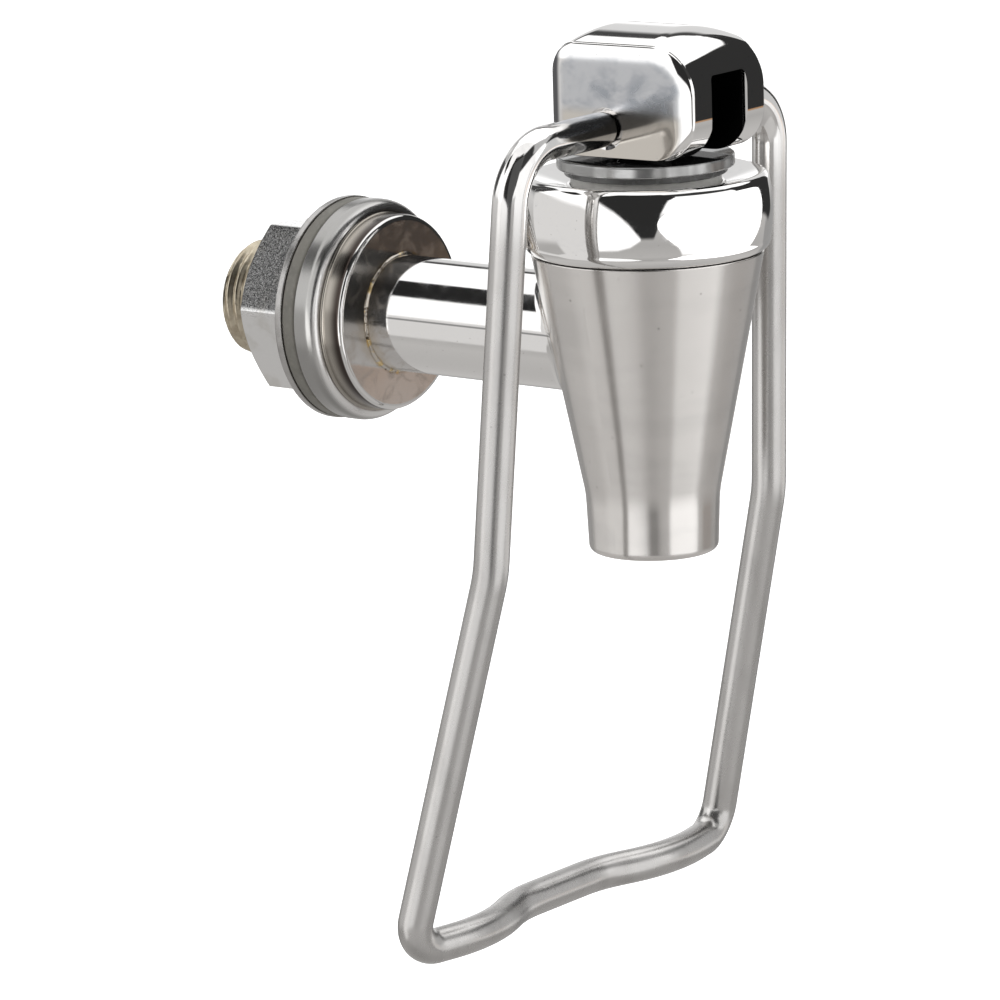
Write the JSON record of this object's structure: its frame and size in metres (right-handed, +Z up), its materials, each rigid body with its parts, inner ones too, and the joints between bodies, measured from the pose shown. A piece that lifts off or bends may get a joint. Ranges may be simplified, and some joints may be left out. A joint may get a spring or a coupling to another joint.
{
  "type": "beverage dispenser spigot",
  "caption": "No-drip drinks faucet with a tapered spout, a threaded wall shank and a push-back wire loop on a pivoting cam head.",
  "frame": {"origin": "centre of the shank at the tank wall's outer face, where the grey seal bears", "axes": "+Y runs along the shank into the tank, +Z is up, the spout stands at -Y"},
  "size_m": [0.0752, 0.0848, 0.1242],
  "materials": {
    "satin_steel": "fine satin, turned round the spout axis",
    "tube_steel": "bright drawn tube, lightly polished",
    "flange_steel": "turned and polished, faint concentric lines",
    "grey_rubber": "matt moulded rubber",
    "washer_steel": "bright stamped sheet",
    "nut_steel": "machined bar, bright flats",
    "polished_steel": "mirror polished",
    "guide_plastic": "natural acetal",
    "black_rubber": "matt rubber",
    "cam_plastic": "moulded grey plastic, slightly worn",
    "cup_silicone": "soft translucent silicone",
    "spring_steel": "drawn spring wire",
    "stem_steel": "ground bar",
    "stem_plastic": "black acetal",
    "head_steel": "mirror polished casting with soft edges",
    "wire_steel": "drawn wire, polished at the bends",
    "screw_steel": "dark socket screws"
  },
  "bodies": {
    "faucet": {"spout_body": "satin_steel", "inlet_tube": "tube_steel", "wall_flange": "flange_steel", "wall_seal": "grey_rubber", "clamp_washer": "washer_steel", "hex_nut": "nut_steel", "bonnet_nut": "polished_steel", "bonnet_guide": "guide_plastic", "stem_oring": "black_rubber", "dust_seal": "black_rubber", "cam_ring": "cam_plastic", "slip_washer": "guide_plastic", "seat_cup": "cup_silicone", "spring_washer": "washer_steel", "stem_spring": "spring_steel"},
    "stem": {"stem": "stem_plastic", "pivot_pin": "stem_steel", "cup_button": "guide_plastic"},
    "lever": {"lever_head": "head_steel", "wire_loop": "wire_steel", "grub_screw_left": "screw_steel", "grub_screw_right": "screw_steel"}
  },
  "joints": [
    {"name": "stem_lift", "type": "slide", "parent": "faucet", "child": "stem", "axis": [0, 0, 1], "range_m": [0, 0.00245], "stiffness_N_per_m": 1800, "springref_m": -0.005, "deforming": ["stem_spring", "seat_cup"]},
    {"name": "lever_tilt", "type": "hinge", "parent": "stem", "child": "lever", "pos_m": [0, -0.051, 0.0299], "axis": [1, 0, 0], "range_deg": [0, 16.1]}
  ],
  "couplings": [
    {"joint": "lever_tilt", "follows": "stem_lift", "rad_per_m": 114}
  ]
}
